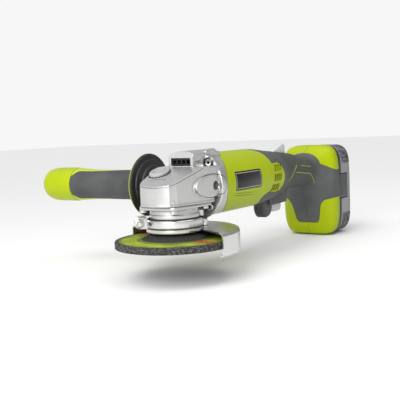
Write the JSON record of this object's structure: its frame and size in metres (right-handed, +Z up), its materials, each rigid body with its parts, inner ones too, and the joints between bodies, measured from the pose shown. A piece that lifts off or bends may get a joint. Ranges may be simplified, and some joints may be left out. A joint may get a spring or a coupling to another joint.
{
  "type": "angle grinder",
  "caption": "Cordless angle grinder with a die-cast head, depressed-centre wheel, turning guard, side handle, rear grip and slide-out battery.",
  "frame": {"origin": "centre of the spindle's lower end face", "axes": "+X from the spindle to the battery, +Y to the side handle, +Z up along the spindle, away from the wheel"},
  "size_m": [0.3905, 0.2532, 0.1199],
  "materials": {
    "cast_aluminium": "satin die-cast, bead blasted",
    "bright_steel": "zinc plated",
    "dark_steel": "oiled",
    "lime_plastic": "semi-gloss moulded",
    "grip_rubber": "fine-textured overmould",
    "black_plastic": "matte moulded",
    "pale_plastic": "satin moulded",
    "grey_plastic": "matte moulded",
    "copper": "turned",
    "abrasive": "gritty bonded abrasive with a printed ring",
    "carbon": "pressed carbon"
  },
  "bodies": {
    "tool": {"gear_case": "cast_aluminium", "bearing_retainer": "cast_aluminium", "spindle_bearing": "bright_steel", "spindle_bush": "bright_steel", "front_bearing": "bright_steel", "rear_bearing": "bright_steel", "lock_spring": "bright_steel", "trigger_spring": "bright_steel", "retainer_screw_1": "bright_steel", "retainer_screw_2": "bright_steel", "retainer_screw_3": "bright_steel", "retainer_screw_4": "bright_steel", "case_screw_1": "bright_steel", "case_screw_2": "bright_steel", "case_screw_3": "bright_steel", "case_screw_4": "bright_steel", "housing_screw_1": "bright_steel", "housing_screw_2": "bright_steel", "housing_screw_3": "bright_steel", "housing_screw_4": "bright_steel", "magnet_can": "dark_steel", "housing_left": "lime_plastic", "housing_right": "lime_plastic", "grip_left": "grip_rubber", "grip_right": "grip_rubber", "exhaust_louvre": "black_plastic", "nameplate_left": "black_plastic", "nameplate_right": "black_plastic", "switch_block": "black_plastic", "terminal_block": "black_plastic", "brush_left": "carbon", "brush_right": "carbon"},
    "spindle": {"spindle": "bright_steel", "crown_gear": "dark_steel", "inner_flange": "dark_steel", "grinding_wheel": "abrasive", "wheel_nut": "dark_steel"},
    "armature": {"motor_shaft": "bright_steel", "drive_pinion": "dark_steel", "cooling_fan": "black_plastic", "armature_core": "dark_steel", "commutator": "copper"},
    "guard": {"wheel_guard": "bright_steel", "clamp_band": "bright_steel", "clamp_screw": "bright_steel", "clamp_nut": "bright_steel"},
    "spindle_lock": {"lock_button": "pale_plastic", "lock_pin": "bright_steel"},
    "handle_stud": {"handle_stud": "bright_steel"},
    "side_handle": {"handle_flange": "black_plastic", "handle_sleeve": "grip_rubber", "handle_cap": "lime_plastic"},
    "trigger": {"trigger": "pale_plastic"},
    "lock_off": {"lock_off_slider": "pale_plastic"},
    "battery": {"battery_top": "black_plastic", "battery_case": "grey_plastic", "battery_cells": "lime_plastic"},
    "latch_left": {"latch_left": "grey_plastic"},
    "latch_right": {"latch_right": "grey_plastic"}
  },
  "joints": [
    {"name": "spindle_spin", "type": "hinge", "parent": "tool", "child": "spindle", "pos_m": [0, 0, 0], "axis": [0, 0, 1], "continuous": true},
    {"name": "motor_spin", "type": "hinge", "parent": "tool", "child": "armature", "pos_m": [0.02, 0, 0.051], "axis": [1, 0, 0], "continuous": true},
    {"name": "guard_turn", "type": "hinge", "parent": "tool", "child": "guard", "pos_m": [0, 0, 0.0139], "axis": [0, 0, 1], "range_deg": [-60, 90]},
    {"name": "lock_press", "type": "slide", "parent": "tool", "child": "spindle_lock", "axis": [0, 0, -1], "range_m": [0, 0.0034], "stiffness_N_per_m": 400, "springref_m": -0.003, "deforming": ["lock_spring"]},
    {"name": "handle_travel", "type": "slide", "parent": "tool", "child": "handle_stud", "axis": [0, 1, 0], "range_m": [0, 0.00152]},
    {"name": "handle_turn", "type": "hinge", "parent": "handle_stud", "child": "side_handle", "pos_m": [0.0294, 0.1, 0.052], "axis": [0, 1, 0], "range_deg": [0, 360]},
    {"name": "trigger_pull", "type": "hinge", "parent": "tool", "child": "trigger", "pos_m": [0.1775, 0, 0.028], "axis": [0, -1, 0], "range_deg": [0, 8], "stiffness_Nm_per_rad": 0.6, "springref_deg": -5.73, "deforming": ["trigger_spring"]},
    {"name": "lock_off_slide", "type": "slide", "parent": "tool", "child": "lock_off", "axis": [-1, 0, 0], "range_m": [0, 0.005], "stiffness_N_per_m": 300, "springref_m": -0.003},
    {"name": "battery_slide", "type": "slide", "parent": "tool", "child": "battery", "axis": [1, 0, 0], "range_m": [0, 0.06]},
    {"name": "latch_left_press", "type": "slide", "parent": "battery", "child": "latch_left", "axis": [0, 1, 0], "range_m": [0, 0.002], "stiffness_N_per_m": 800, "springref_m": -0.001},
    {"name": "latch_right_press", "type": "slide", "parent": "battery", "child": "latch_right", "axis": [0, -1, 0], "range_m": [0, 0.002], "stiffness_N_per_m": 800, "springref_m": -0.001}
  ],
  "couplings": [
    {"joint": "motor_spin", "follows": "spindle_spin", "ratio": 3},
    {"joint": "handle_travel", "follows": "handle_turn", "m_per_rad": 0.0002387}
  ]
}
